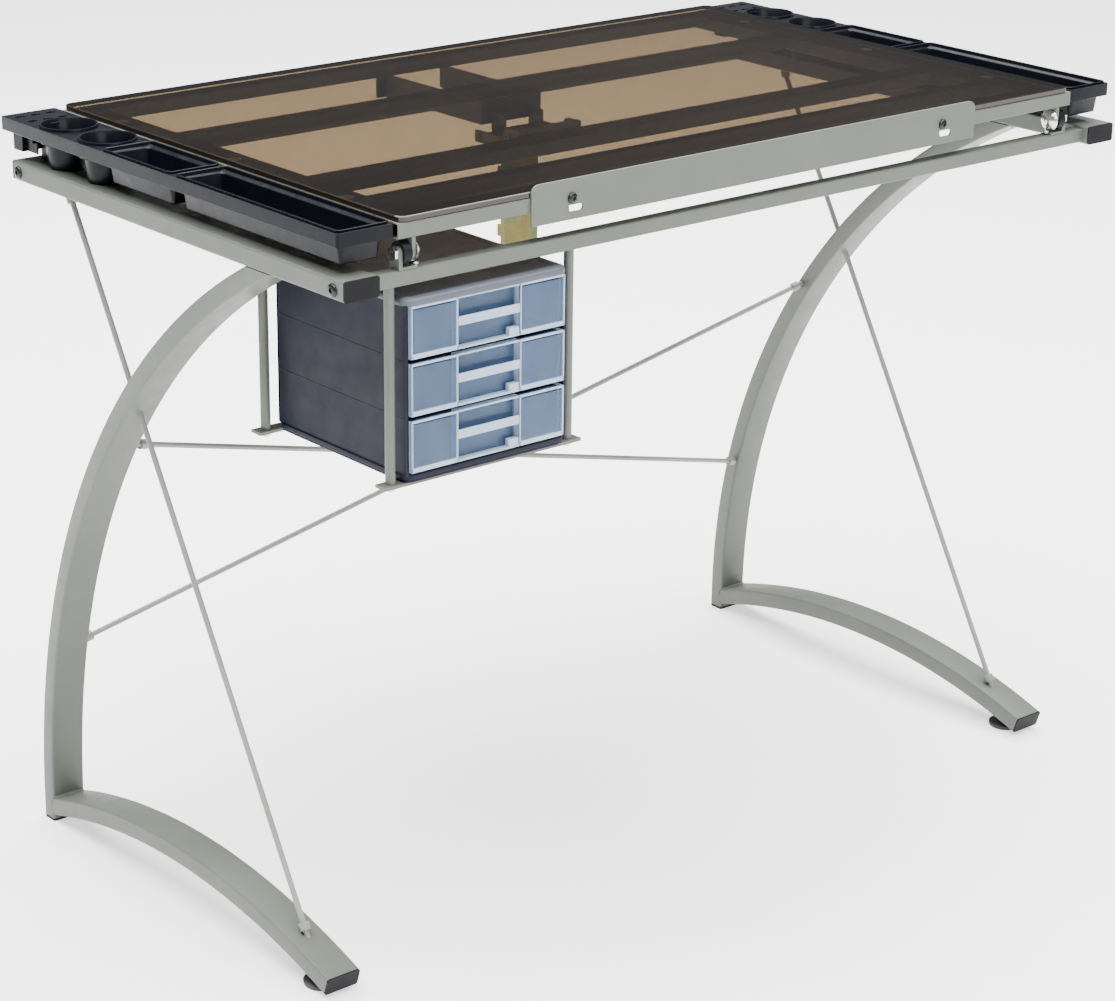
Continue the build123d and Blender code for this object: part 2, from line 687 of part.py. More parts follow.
def make_stay():
    """Channel hung from the lift bracket, with ratchet notches in its two rear edges."""
    half = stay_w / 2
    low_z = stay_pivot_z - stay_length
    front = stay_y - stay_d / 2
    rear = stay_y + stay_d / 2
    body = block(-half, half, front, front + stay_t, low_z, stay_pivot_z - stay_web_gap)
    for x0 in (-half, half - stay_t):
        cheek = block(x0, x0 + stay_t, front, rear, low_z, stay_pivot_z)
        cheek += rod((x0, stay_y, stay_pivot_z), (x0 + stay_t, stay_y, stay_pivot_z),
                     stay_d / 2)
        body += cheek
    for number in range(stay_notches):
        z = stay_pivot_z - stay_end_gap - number * stay_notch_pitch
        body -= block(-half - 1, half + 1, rear - stay_notch_d, rear + 1, z - stay_notch_h, z)
    body -= rod((-half - 1, stay_y, stay_pivot_z), (half + 1, stay_y, stay_pivot_z),
                stay_pin_r + running_gap)
    add("ratchet_stay", body)
    pin_half = stay_w / 2 + part_gap + lug_t + 1
    pin = rod((-pin_half, stay_y, stay_pivot_z), (pin_half, stay_y, stay_pivot_z), stay_pin_r)
    for x0 in (-pin_half - pin_head_t, pin_half):
        pin += rod((x0, stay_y, stay_pivot_z), (x0 + pin_head_t, stay_y, stay_pivot_z),
                   pin_head_r)
    add("stay_pin", pin)


def make_housing():
    """Bracket behind the centre rail, open to the rear, with the catch bar across it."""
    half = housing_w / 2
    rear_y = catch_bar_y + 2 * catch_bar_r
    low_wing_top = catch_bar_z + 2 * catch_bar_r
    face = block(-half, half, housing_front_y, housing_front_y + housing_t, rail_bottom_z,
                 housing_top_z)
    face = fillet(face.edges().filter_by(Axis.Y).group_by(Axis.Z)[-1], housing_corner)
    body = face
    for x0 in (-half, half - housing_t):
        body += block(x0, x0 + housing_t, housing_front_y, rear_y, rail_bottom_z,
                      low_wing_top)
        high_wing = block(x0, x0 + housing_t, housing_front_y, pawl_y + high_wing_reach,
                          rail_bottom_z, housing_top_z - 2)
        top_edges = high_wing.edges().filter_by(Axis.X).group_by(Axis.Z)[-1]
        body += fillet(top_edges.sort_by(Axis.Y)[-1], housing_corner + 1)
    pins = ((pawl_y, pawl_z, pawl_pin_r), (catch_bar_y, catch_bar_z, catch_bar_r))
    for y, z, radius in pins:
        body -= rod((-half - 1, y, z), (half + 1, y, z), radius + running_gap)
    add("ratchet_housing", body)
    bar_half = half + bar_overhang
    add("catch_bar", rod((-bar_half, catch_bar_y, catch_bar_z),
                         (bar_half, catch_bar_y, catch_bar_z), catch_bar_r))
    add("pawl_pin", rod((-bar_half, pawl_y, pawl_z), (bar_half, pawl_y, pawl_z), pawl_pin_r))
    screws = []
    for x in (-housing_screw_x, housing_screw_x):
        face_y = housing_front_y + housing_t
        screws.append(dome_head((x, face_y, rail_z), (0, 1, 0), housing_screw_r,
                                housing_screw_h))
    add("housing_screws", *screws)


def make_pawl():
    """Release pawl on its pin: an eye, and a blade that points at the stay."""
    half = pawl_w / 2
    z = pawl_z
    eye = rod((-half, pawl_y, z), (half, pawl_y, z), pawl_pin_r + pawl_eye_wall)
    tip_y = stay_y - stay_d / 2 - pawl_tip_gap
    blade_half = half - pawl_eye_overhang
    blade = block(-blade_half, blade_half, pawl_y, tip_y, z - pawl_t / 2, z + pawl_t / 2)
    body = eye + blade
    body -= rod((-half - 1, pawl_y, z), (half + 1, pawl_y, z), pawl_pin_r + running_gap)
    add("release_pawl", body)


# ---------------------------------------------------------------- side trays
def bin_shell(y0, y1, wall):
    """A tray bin's body, drafted, shrunk by a wall thickness."""
    width = tray_body_x1 - tray_body_x0 - 2 * wall
    length = y1 - y0 - 2 * wall
    top = Rectangle(width, length)
    low = Rectangle(width - 2 * tray_draft, length - 2 * tray_draft)
    middle_x = (tray_body_x0 + tray_body_x1) / 2
    z_low = tray_floor_z + wall
    rise = 1.0 if wall else 0.0
    upper = Plane(origin=(middle_x, (y0 + y1) / 2, tray_top_z + rise)) * top
    lower = Plane(origin=(middle_x, (y0 + y1) / 2, z_low)) * low
    return loft([lower, upper])


def cup_shell(y, wall):
    floor_z = base_top_z + tray_rest_gap + wall
    rise = 1.0 if wall else 0.0
    lower = Plane(origin=(tray_mid_x, y, floor_z)) * Circle(cup_bottom_r - wall)
    upper = Plane(origin=(tray_mid_x, y, tray_top_z + rise)) * Circle(cup_r - wall)
    return loft([lower, upper])


def make_tray():
    rear_y = tray_front_y + tray_length
    big_y0 = tray_front_y + tray_end_rim
    big_y1 = big_y0 + big_bin_length
    small_y0 = big_y1 + divider_w
    small_y1 = small_y0 + small_bin_length
    block_y0 = rear_y - pencil_block_length
    rim = block(tray_inner_x, tray_outer_x, tray_front_y, rear_y, tray_top_z - tray_wall,
                tray_top_z)
    rim = fillet(rim.edges().filter_by(Axis.Z), tray_corner)
    tray = rim
    for x0 in (tray_inner_x, tray_outer_x - tray_wall):
        tray += block(x0, x0 + tray_wall, tray_front_y + 4, rear_y - 4,
                      tray_top_z - tray_skirt_h, tray_top_z)
    for y0, y1 in ((big_y0, big_y1), (small_y0, small_y1)):
        tray += bin_shell(y0, y1, 0)
    cups = (rear_cup_y, rear_cup_y - cup_pitch)
    for y in cups:
        tray += cup_shell(y, 0)
    tray += block(tray_body_x0, tray_body_x1, block_y0, rear_y - 2, tray_top_z - 24, tray_top_z)
    tray += block(tray_body_x0 + 4, tray_body_x1 - 4, rear_y - 30, rear_y - 14,
                  tray_top_z - 35, tray_top_z)
    tray += block(tray_mid_x - 8, tray_mid_x + 8, block_y0 + 2, block_y0 + 20,
                  base_top_z + tray_rest_gap, tray_top_z - 10)
    for y0, y1 in ((big_y0, big_y1), (small_y0, small_y1)):
        tray -= bin_shell(y0, y1, tray_wall)
    for y in cups:
        tray -= cup_shell(y, tray_wall)
    for row in (-1, 1):
        for column in (-1, 0, 1):
            x = tray_mid_x + column * pencil_pitch_x
            y = rear_y - pencil_block_length / 2 + row * pencil_pitch_y / 2
            tray -= rod((x, y, tray_top_z - pencil_depth), (x, y, tray_top_z + 1), pencil_r)
    split_y = small_y1 + 3.0
    everything = 2 * overall_depth
    front_half = block(0, side_outer + 1, -everything, split_y, 0, 2 * table_height)
    rear_half = block(0, side_outer + 1, split_y, everything, 0, 2 * table_height)
    return tray & front_half, tray & rear_half


# ---------------------------------------------------------------- drawer unit
def make_case():
    """Side walls, back and runner ledges in one moulding, then its lid and its base."""
    top = case_top_z - lid_t
    low = case_bottom_z + base_t
    front = case_front_y + wall_setback
    body = block(case_left_x, case_right_x, front, case_rear_y, low, top)
    body -= block(case_inner_left, case_inner_right, front - 1, case_rear_y - case_wall,
                  low - 1, top + 1)
    for z in drawer_floor_z[:-1]:
        for x0, x1 in ((case_inner_left, case_inner_left + runner_w),
                       (case_inner_right - runner_w, case_inner_right)):
            body += block(x0, x1, front + 12, case_rear_y - case_wall,
                          z - part_gap - shelf_t, z - part_gap)
    add("case_body", body)
    lid = block(case_left_x - lid_lip, case_right_x + lid_lip, case_front_y,
                case_rear_y + lid_lip, top, case_top_z)
    lid = fillet(lid.edges().filter_by(Axis.X).group_by(Axis.Y)[0].sort_by(Axis.Z)[-1],
                 lid_t - 1)
    add("case_lid", lid)
    floor = block(case_left_x - lid_lip, case_right_x + lid_lip, case_front_y + 2,
                  case_rear_y + lid_lip, case_bottom_z, low)
    recess = drawer_grip_w / 2
    floor -= block(case_middle_x - recess, case_middle_x + recess, case_front_y + 1,
                   case_front_y + 8, case_bottom_z + 3, low + 1)
    add("case_base", floor)


def make_drawer(number):
    """Clear drawer: a tub whose front has a grip recess, a pull bar and a finger opening."""
    x0 = case_inner_left + drawer_gap
    x1 = case_inner_right - drawer_gap
    z0 = drawer_floor_z[number]
    z1 = z0 + drawer_h
    y0 = case_front_y
    y1 = case_rear_y - case_wall - drawer_back_gap
    step_y = y0 + drawer_grip_depth
    tub = block(x0, x1, y0, y1, z0, z1)
    tub -= block(x0 + drawer_wall, x1 - drawer_wall, step_y + drawer_wall, y1 - drawer_wall,
                 z0 + drawer_wall, z1 + 1)
    grip_x0 = case_middle_x - drawer_grip_w / 2
    grip_x1 = case_middle_x + drawer_grip_w / 2
    for pocket_x0, pocket_x1 in ((x0, grip_x0), (grip_x1, x1)):
        tub -= block(pocket_x0 + drawer_wall, pocket_x1 - drawer_wall, y0 + drawer_wall,
                     step_y + drawer_wall + 1, z0 + drawer_wall, z1 + 1)
    tub -= block(grip_x0, grip_x1, y0 - 1, step_y, z0 + drawer_wall, z1 - drawer_wall)
    pull = block(grip_x0 - 1, grip_x1 + 1, y0, y0 + drawer_wall, z0 + drawer_h * 0.45,
                 z0 + drawer_h * 0.62)
    return tub + pull


def make_posts():
    posts = []
    nuts = []
    for x in (case_middle_x - post_span_x / 2, case_middle_x + post_span_x / 2):
        for y in (post_front_y, post_rear_y):
            posts.append(rod((x, y, bar_top_z - carrier_bar_t), (x, y, rail_bottom_z), post_r))
            nuts.append(dome_head((x, y, bar_top_z - carrier_bar_t), (0, 0, -1),
                                  post_nut_r, post_nut_h))
    add("hanger_posts", *posts)
    add("post_nuts", *nuts)
    reach = post_span_x / 2 + 12
    for name, y in (("carrier_bar_front", post_front_y), ("carrier_bar_rear", post_rear_y)):
        bar = block(case_middle_x - reach, case_middle_x + reach, y - carrier_bar_d / 2,
                    y + carrier_bar_d / 2, bar_top_z - carrier_bar_t, bar_top_z)
        for x in (case_middle_x - post_span_x / 2, case_middle_x + post_span_x / 2):
            bar -= rod((x, y, bar_top_z - carrier_bar_t - 1), (x, y, bar_top_z + 1),
                       post_r + running_gap)
        add(name, bar)


make_base()
make_hinges()
make_top()
make_ledge()
make_lift_bracket()
make_stay()
make_housing()
make_pawl()
bins, rack = make_tray()
add("tray_bins_right", bins)
add("tray_rack_right", rack)
add("tray_bins_left", mirrored(bins))
add("tray_rack_left", mirrored(rack))
make_case()
for drawer_number in range(drawer_count):
    add(f"drawer_{drawer_number + 1}", make_drawer(drawer_number))
make_posts()

for piece_name, solids in pieces.items():
    shape = solids[0] if len(solids) == 1 else Compound(children=solids)
    export_step(shape, f"parts/{piece_name}.step")
print(len(pieces), "nodes written")
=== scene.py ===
import json
import math
import bmesh
import bpy
from mathutils import Matrix, Vector


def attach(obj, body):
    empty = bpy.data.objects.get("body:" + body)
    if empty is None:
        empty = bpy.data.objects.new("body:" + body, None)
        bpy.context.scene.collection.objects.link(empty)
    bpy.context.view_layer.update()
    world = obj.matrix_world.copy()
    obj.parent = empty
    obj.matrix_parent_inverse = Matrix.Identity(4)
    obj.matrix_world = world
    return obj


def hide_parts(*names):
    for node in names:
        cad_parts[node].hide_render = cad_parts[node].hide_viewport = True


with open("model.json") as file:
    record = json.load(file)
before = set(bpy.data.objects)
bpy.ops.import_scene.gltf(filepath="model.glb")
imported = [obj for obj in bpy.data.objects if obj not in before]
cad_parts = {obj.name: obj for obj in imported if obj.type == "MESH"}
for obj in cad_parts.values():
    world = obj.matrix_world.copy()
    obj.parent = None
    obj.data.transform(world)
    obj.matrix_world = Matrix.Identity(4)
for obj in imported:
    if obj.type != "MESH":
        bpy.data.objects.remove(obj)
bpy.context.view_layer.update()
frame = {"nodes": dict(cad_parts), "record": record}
MM = 0.001

# ------------------------------------------------------------------ table sizes, millimetres
FRONT = -301.0          # front face of the side tubes
REAR = 301.0
GLASS_TOP = 800.0
GLASS_LOW = 795.0
TUBE_LOW = 732.0
TUBE_WIDTH, TUBE_THICK, TUBE_CORNER = 40.0, 20.0, 2.5
SIDE_OUT = 526.0
SIDE_MID = 506.0
RAIL_Z = 741.0          # middle of the base rails and their screws
FRONT_RAIL_Y, REAR_RAIL_Y = -283.5, 269.0
LEG_Y, LEG_Z, LEG_R, LEG_RI = -523.0, 22.0, 806.0, 786.0    # centre, outer and inner radius
FOOT_Y, FOOT_Z, FOOT_R, FOOT_RI = 9.0, -783.0, 850.0, 830.0
SOLE_HEIGHT = 3.0
FOOT_TIP_Y = FRONT + 48.0
LEVELLER_Y = FRONT + 80.0
HINGE_Y, HINGE_Z = -284.0, 764.0
LEDGE_SCREW_X, LEDGE_SCREW_Y, LEDGE_SCREW_Z = 254.5, -296.6, 787.0
GLASS_HALF, GLASS_FRONT, GLASS_REAR, GLASS_CORNER = 457.0, -293.6, 291.4, 8.0
TRAY_TOP = 797.0
TRAY_LENGTH = 592.0
TRAY_X0, TRAY_X1 = 461.0, 526.0
TRAY_WALL = 2.2
CUP_FLOOR = 752.5
CASE_X0, CASE_X1 = -452.0, -258.0
CASE_Y0, CASE_Y1 = -297.0, -86.0
DRAWER_PITCH, DRAWER_HEIGHT, TOP_DRAWER_Z = 55.8, 51.0, 662.8


# ------------------------------------------------------------------ mesh helpers
def finish_mesh(name, bm, material, body, smooth=35):
    """Turn a bmesh in millimetres into an object that rides on a body."""
    bmesh.ops.recalc_face_normals(bm, faces=bm.faces)
    bmesh.ops.scale(bm, vec=(MM, MM, MM), verts=bm.verts)
    mesh = bpy.data.meshes.new(name)
    bm.to_mesh(mesh)
    bm.free()
    for poly in mesh.polygons:
        poly.use_smooth = True
    mesh.set_sharp_from_angle(angle=math.radians(smooth))
    obj = bpy.data.objects.new(name, mesh)
    bpy.context.scene.collection.objects.link(obj)
    mesh.materials.append(material)
    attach(obj, body)
    return obj


def add_bevel(obj, width, segments=2, angle=40):
    mod = obj.modifiers.new("edge", "BEVEL")
    mod.width = width * MM
    mod.segments = segments
    mod.limit_method = "ANGLE"
    mod.angle_limit = math.radians(angle)
    mod.harden_normals = False
    return obj


def box_into(bm, x0, x1, y0, y1, z0, z1):
    """Add a box between two corners to a bmesh."""
    verts = [bm.verts.new((x, y, z)) for z in (z0, z1) for y in (y0, y1) for x in (x0, x1)]
    for ids in ((0, 2, 3, 1), (4, 5, 7, 6), (0, 1, 5, 4), (2, 6, 7, 3), (0, 4, 6, 2), (1, 3, 7, 5)):
        bm.faces.new([verts[i] for i in ids])


def ring_faces(bm, rings, close=True):
    """Join rings of vertices one after another into faces."""
    for a, b in zip(rings, rings[1:]):
        n = len(a)
        for i in range(n if close else n - 1):
            j = (i + 1) % n
            bm.faces.new((a[i], a[j], b[j], b[i]))


def lathe_into(bm, profile, centre, axis, steps=32):
    """Turn (radius, height) pairs about an axis through centre."""
    up = Vector(axis).normalized()
    side = up.orthogonal().normalized()
    other = up.cross(side)
    rings = []
    for r, h in profile:
        ring = []
        for k in range(steps):
            t = 2 * math.pi * k / steps
            p = Vector(centre) + up * h + (side * math.cos(t) + other * math.sin(t)) * max(r, 1e-3)
            ring.append(bm.verts.new(p))
        rings.append(ring)
    ring_faces(bm, rings)
    bm.faces.new(list(reversed(rings[0])))
    bm.faces.new(rings[-1])


def lathe(name, profile, centre, axis, material, body, steps=32, smooth=35):
    bm = bmesh.new()
    lathe_into(bm, profile, centre, axis, steps)
    return finish_mesh(name, bm, material, body, smooth)


def rounded_loop(x0, x1, y0, y1, r, steps=6):
    """Points round a rectangle with rounded corners."""
    out = []
    for cx, cy, start in ((x1 - r, y1 - r, 0), (x0 + r, y1 - r, 90), (x0 + r, y0 + r, 180),
                          (x1 - r, y0 + r, 270)):
        for k in range(steps + 1):
            t = math.radians(start + 90 * k / steps)
            out.append((cx + r * math.cos(t), cy + r * math.sin(t)))
    return out


def circle_loop(cx, cy, rx, ry=None, steps=48):
    ry = rx if ry is None else ry
    turn = [2 * math.pi * k / steps for k in range(steps)]
    return [(cx + rx * math.cos(t), cy + ry * math.sin(t)) for t in turn]


def plate_into(bm, outer, holes, z0, z1):
    """Flat plate with holes: loops in XY, between two heights."""
    lower, upper = [], []
    for loop in [outer] + holes:
        low = [bm.verts.new((x, y, z0)) for x, y in loop]
        high = [bm.verts.new((x, y, z1)) for x, y in loop]
        ring_faces(bm, [low, high])
        lower.append(low)
        upper.append(high)
    for level in (lower, upper):
        edges = []
        for ring in level:
            for i, v in enumerate(ring):
                edges.append(bm.edges.get((v, ring[(i + 1) % len(ring)])))
        bmesh.ops.triangle_fill(bm, use_beauty=True, use_dissolve=False, edges=edges)


def well_into(bm, sections, wall):
    """Open tub. sections: (loop maker, inset, z) from the rim down; loop maker takes an inset."""
    outer = [[bm.verts.new((x, y, z)) for x, y in make(inset)] for make, inset, z in sections]
    inner = []
    for k, (make, inset, z) in enumerate(sections):
        lift = wall if k == len(sections) - 1 else 0.0
        inner.append([bm.verts.new((x, y, z + lift)) for x, y in make(inset + wall)])
    ring_faces(bm, outer)
    ring_faces(bm, inner)
    ring_faces(bm, [outer[0], inner[0]])
    bm.faces.new(outer[-1])
    bm.faces.new(inner[-1])


def section_loop(width, thick, r, steps=4):
    return rounded_loop(-width / 2, width / 2, -thick / 2, thick / 2, r, steps)


def arc_bar(x_mid, centre_y, centre_z, radius, a0, a1, steps, stub=0.0):
    """Mesh of a tube bent about an X axis; angles from +Y, towards +Z, in degrees."""
    bm = bmesh.new()
    loop = section_loop(TUBE_WIDTH, TUBE_THICK, TUBE_CORNER)
    rings = []
    if stub:
        rings.append([bm.verts.new((x_mid + x, centre_y + radius + t, centre_z - stub))
                      for x, t in loop])
    for k in range(steps + 1):
        t0 = math.radians(a0 + (a1 - a0) * k / steps)
        c, s = math.cos(t0), math.sin(t0)
        rings.append([bm.verts.new((x_mid + x, centre_y + (radius + t) * c,
                                    centre_z + (radius + t) * s)) for x, t in loop])
    ring_faces(bm, rings)
    bm.faces.new(list(reversed(rings[0])))
    bm.faces.new(rings[-1])
    return bm


def cut_above(bm, z):
    """Cut off everything above a level and close the cut."""
    geom = list(bm.verts) + list(bm.edges) + list(bm.faces)
    out = bmesh.ops.bisect_plane(bm, geom=geom, plane_co=(0, 0, z), plane_no=(0, 0, 1),
                                 clear_outer=True)
    edges = [e for e in out["geom_cut"] if isinstance(e, bmesh.types.BMEdge)]
    bmesh.ops.edgeloop_fill(bm, edges=edges)


# ------------------------------------------------------------------ materials
class Nodes:
    """Short way to build a node material."""

    def __init__(self, name):
        self.material = bpy.data.materials.new(name)
        self.material.use_nodes = True
        self.tree = self.material.node_tree
        self.tree.nodes.clear()
        self.coords = self.node("ShaderNodeTexCoord")

    def node(self, kind, **settings):
        made = self.tree.nodes.new(kind)
        for key, value in settings.items():
            setattr(made, key, value)
        return made

    def link(self, a, b):
        self.tree.links.new(a, b)

    def noise(self, scale, detail=4.0, stretch=None, rough=0.55):
        tex = self.node("ShaderNodeTexNoise")
        tex.inputs["Scale"].default_value = scale
        tex.inputs["Detail"].default_value = detail
        tex.inputs["Roughness"].default_value = rough
        mapping = self.node("ShaderNodeMapping")
        mapping.inputs["Scale"].default_value = stretch or (1.0, 1.0, 1.0)
        self.link(self.coords.outputs["Object"], mapping.inputs["Vector"])
        self.link(mapping.outputs["Vector"], tex.inputs["Vector"])
        return tex.outputs["Fac"]

    def ramp(self, source, stops):
        made = self.node("ShaderNodeValToRGB")
        while len(made.color_ramp.elements) < len(stops):
            made.color_ramp.elements.new(0.5)
        for element, (place, colour) in zip(made.color_ramp.elements, stops):
            element.position = place
            element.color = (*colour, 1.0)
        self.link(source, made.inputs["Fac"])
        return made.outputs["Color"]

    def spread(self, source, low, high):
        made = self.node("ShaderNodeMapRange")
        made.inputs["From Min"].default_value = 0.3
        made.inputs["From Max"].default_value = 0.7
        made.inputs["To Min"].default_value = low
        made.inputs["To Max"].default_value = high
        self.link(source, made.inputs["Value"])
        return made.outputs["Result"]

    def edge_wear_and_highlight(self, colour, edge_colour, radius=0.0009):
        """Mix another colour in along edges, where a rounded normal leaves the true one; the lighter
        edges are partly wear and partly a painted highlight.
        """
        geometry = self.node("ShaderNodeNewGeometry")
        rounded = self.node("ShaderNodeBevel", samples=4)
        rounded.inputs["Radius"].default_value = radius
        likeness = self.node("ShaderNodeVectorMath", operation="DOT_PRODUCT")
        self.link(geometry.outputs["Normal"], likeness.inputs[0])
        self.link(rounded.outputs["Normal"], likeness.inputs[1])
        made = self.node("ShaderNodeMapRange")
        made.inputs["From Min"].default_value = 0.97
        made.inputs["From Max"].default_value = 0.80
        self.link(likeness.outputs["Value"], made.inputs["Value"])
        mix = self.node("ShaderNodeMix", data_type="RGBA")
        self.link(made.outputs["Result"], mix.inputs["Factor"])
        self.link(colour, mix.inputs["A"])
        mix.inputs["B"].default_value = (*edge_colour, 1.0)
        return mix.outputs["Result"]

    def bump(self, source, strength, distance):
        made = self.node("ShaderNodeBump")
        made.inputs["Strength"].default_value = strength
        made.inputs["Distance"].default_value = distance
        self.link(source, made.inputs["Height"])
        return made.outputs["Normal"]

    def principled(self, colour, rough, metallic=0.0, normal=None, **values):
        made = self.node("ShaderNodeBsdfPrincipled")
        self.link(colour, made.inputs["Base Color"])
        self.link(rough, made.inputs["Roughness"])
        made.inputs["Metallic"].default_value = metallic
        if normal:
            self.link(normal, made.inputs["Normal"])
        for key, value in values.items():
            made.inputs[key.replace("_", " ")].default_value = value
        return made.outputs["BSDF"]

    def output(self, shader):
        out = self.node("ShaderNodeOutputMaterial")
        self.link(shader, out.inputs["Surface"])
        return self.material


def solid_material(name, dark, light, edge, rough, metallic=0.0, grain=900.0, bump=0.12,
                   tone=9.0, stretch=None, **values):
    """Opaque finish: slow tone changes, fine grain bump, uneven gloss, lighter edges that are partly
    wear and partly painted highlight.
    """
    n = Nodes(name)
    slow = n.noise(tone, 5.0, stretch)
    fine = n.noise(grain, 3.0, stretch)
    # the edge colour is partly wear and partly a painted highlight along the edges
    colour = n.edge_wear_and_highlight(n.ramp(slow, [(0.3, dark), (0.7, light)]), edge)
    roughness = n.spread(n.noise(tone * 6, 4.0, stretch), rough - 0.05, rough + 0.06)
    normal = n.bump(fine, bump, 0.0004)
    return n.output(n.principled(colour, roughness, metallic, normal, **values))


PAINT = solid_material("frame_paint", (0.086, 0.093, 0.080), (0.102, 0.110, 0.094),
                       (0.15, 0.16, 0.14), 0.45, metallic=0.0, grain=1400, bump=0.10,
                       Specular_IOR_Level=0.3)
ROD = solid_material("rod_steel", (0.17, 0.175, 0.165), (0.23, 0.235, 0.222), (0.30, 0.30, 0.29),
                     0.36, metallic=0.1, grain=1500, bump=0.08)
BLACK_SCREW = solid_material("black_screw", (0.012, 0.012, 0.013), (0.022, 0.022, 0.022),
                             (0.06, 0.06, 0.06), 0.24, metallic=0.6, grain=1200, bump=0.05)
BLACK_PLASTIC = solid_material("black_plastic", (0.006, 0.006, 0.007), (0.010, 0.010, 0.012),
                               (0.015, 0.015, 0.018), 0.5, grain=1800, bump=0.15,
                               Specular_IOR_Level=0.08)
BRIGHT = solid_material("bright_steel", (0.5, 0.5, 0.5), (0.66, 0.66, 0.65), (0.75, 0.75, 0.74),
                        0.2, metallic=1.0, grain=700, bump=0.05)
TRAY = solid_material("tray_plastic", (0.0018, 0.0020, 0.0038), (0.0030, 0.0034, 0.0060),
                      (0.016, 0.019, 0.034), 0.30, grain=2200, bump=0.08,
                      Specular_IOR_Level=0.12)
CASE = solid_material("case_plastic", (0.0070, 0.0082, 0.0160), (0.0100, 0.0116, 0.0210),
                      (0.03, 0.034, 0.055), 0.48, grain=2000, bump=0.14,
                      Specular_IOR_Level=0.10)
# same plastic as the case, in a lighter and glossier copy: a painted sheen where light falls on the
# lid's top
CASE_PAINTED_SHEEN = solid_material("case_plastic_painted_sheen", (0.065, 0.070, 0.092), (0.085, 0.091, 0.115),
                          (0.13, 0.14, 0.17), 0.42, grain=2000, bump=0.14,
                          Specular_IOR_Level=0.25)
RUBBER = solid_material("rubber", (0.010, 0.010, 0.011), (0.018, 0.018, 0.019),
                        (0.03, 0.03, 0.03), 0.6, grain=1500, bump=0.2)


def zinc_material():
    n = Nodes("zinc_plate")
    drift = n.noise(34.0, 3.0, (1.0, 1.0, 0.35), rough=0.6)
    colour = n.ramp(drift, [(0.30, (0.15, 0.04, 0.045)), (0.41, (0.09, 0.078, 0.008)),
                            (0.52, (0.11, 0.095, 0.010)), (0.62, (0.012, 0.080, 0.030)),
                            (0.74, (0.15, 0.06, 0.045))])
    # lighter edges on the zinc: partly wear, partly a painted highlight
    colour = n.edge_wear_and_highlight(colour, (0.24, 0.21, 0.09))
    rough = n.spread(n.noise(220.0, 4.0), 0.24, 0.38)
    return n.output(n.principled(colour, rough, 0.45, n.bump(n.noise(900.0), 0.06, 0.0003)))


def glass_material(name, tint, gloss_rough=0.02):
    """Bronze glass seen as a tinted clear sheet with a surface reflection."""
    n = Nodes(name)
    clear = n.node("ShaderNodeBsdfTransparent")
    slow = n.noise(3.0, 2.0)
    low = tuple(v * 0.985 for v in tint)
    n.link(n.ramp(slow, [(0.35, low), (0.65, tint)]), clear.inputs["Color"])
    black = n.ramp(slow, [(0.0, (0.0, 0.0, 0.0)), (1.0, (0.002, 0.002, 0.002))])
    rough = n.spread(n.noise(40.0, 3.0), gloss_rough, gloss_rough + 0.02)
    shine = n.principled(black, rough, 0.0, None, Specular_IOR_Level=0.04)
    add = n.node("ShaderNodeAddShader")
    n.link(clear.outputs["BSDF"], add.inputs[0])
    n.link(shine, add.inputs[1])
    return n.output(add.outputs["Shader"])


def clear_plastic(name, colour, veil, rough=0.2):
    """Milky clear plastic: part see-through, part pale body colour."""
    n = Nodes(name)
    slow = n.noise(14.0, 4.0)
    streak = n.noise(60.0, 3.0, (1.0, 1.0, 0.25))
    dark = tuple(v * 0.86 for v in colour)
    # pale edges on the clear plastic are a painted highlight along the edges
    body = n.edge_wear_and_highlight(n.ramp(slow, [(0.3, dark), (0.7, colour)]), (0.55, 0.66, 0.80))
    roughness = n.spread(streak, rough - 0.04, rough + 0.08)
    solid = n.principled(body, roughness, 0.0, n.bump(n.noise(240.0), 0.05, 0.0003),
                         Transmission_Weight=0.12, IOR=1.45)
    clear = n.node("ShaderNodeBsdfTransparent")
    clear.inputs["Color"].default_value = (0.80, 0.89, 1.0, 1.0)
    mix = n.node("ShaderNodeMixShader")
    n.link(n.spread(streak, veil - 0.06, veil + 0.06), mix.inputs["Fac"])
    n.link(clear.outputs["BSDF"], mix.inputs[1])
    n.link(solid, mix.inputs[2])
    return n.output(mix.outputs["Shader"])


ZINC = zinc_material()
GLASS = glass_material("table_glass", (0.305, 0.252, 0.182))
GLASS_EDGE = solid_material("table_glass_edge", (0.010, 0.008, 0.006), (0.018, 0.014, 0.010),
                            (0.05, 0.04, 0.03), 0.12, grain=300, bump=0.04)
DRAWER = clear_plastic("clear_plastic", (0.085, 0.138, 0.220), 0.38)
DRAWER_EDGE = clear_plastic("clear_plastic_edge", (0.46, 0.56, 0.68), 0.82)
PAD = clear_plastic("clear_pad", (0.8, 0.8, 0.8), 0.6, rough=0.12)

BY_SLOT = {"frame_paint": PAINT, "rod_steel": ROD, "black_screw": BLACK_SCREW,
           "black_plastic": BLACK_PLASTIC, "zinc_plate": ZINC, "bright_steel": BRIGHT,
           "tray_plastic": TRAY, "case_plastic": CASE, "clear_plastic": DRAWER,
           "table_glass": GLASS, "clear_pad": PAD}
node_slots = {s["node"]: s["material_slot"] for s in frame["record"]["subparts"]}
for node_name, node_object in frame["nodes"].items():
    node_object.data.materials.clear()
    node_object.data.materials.append(BY_SLOT[node_slots[node_name]])


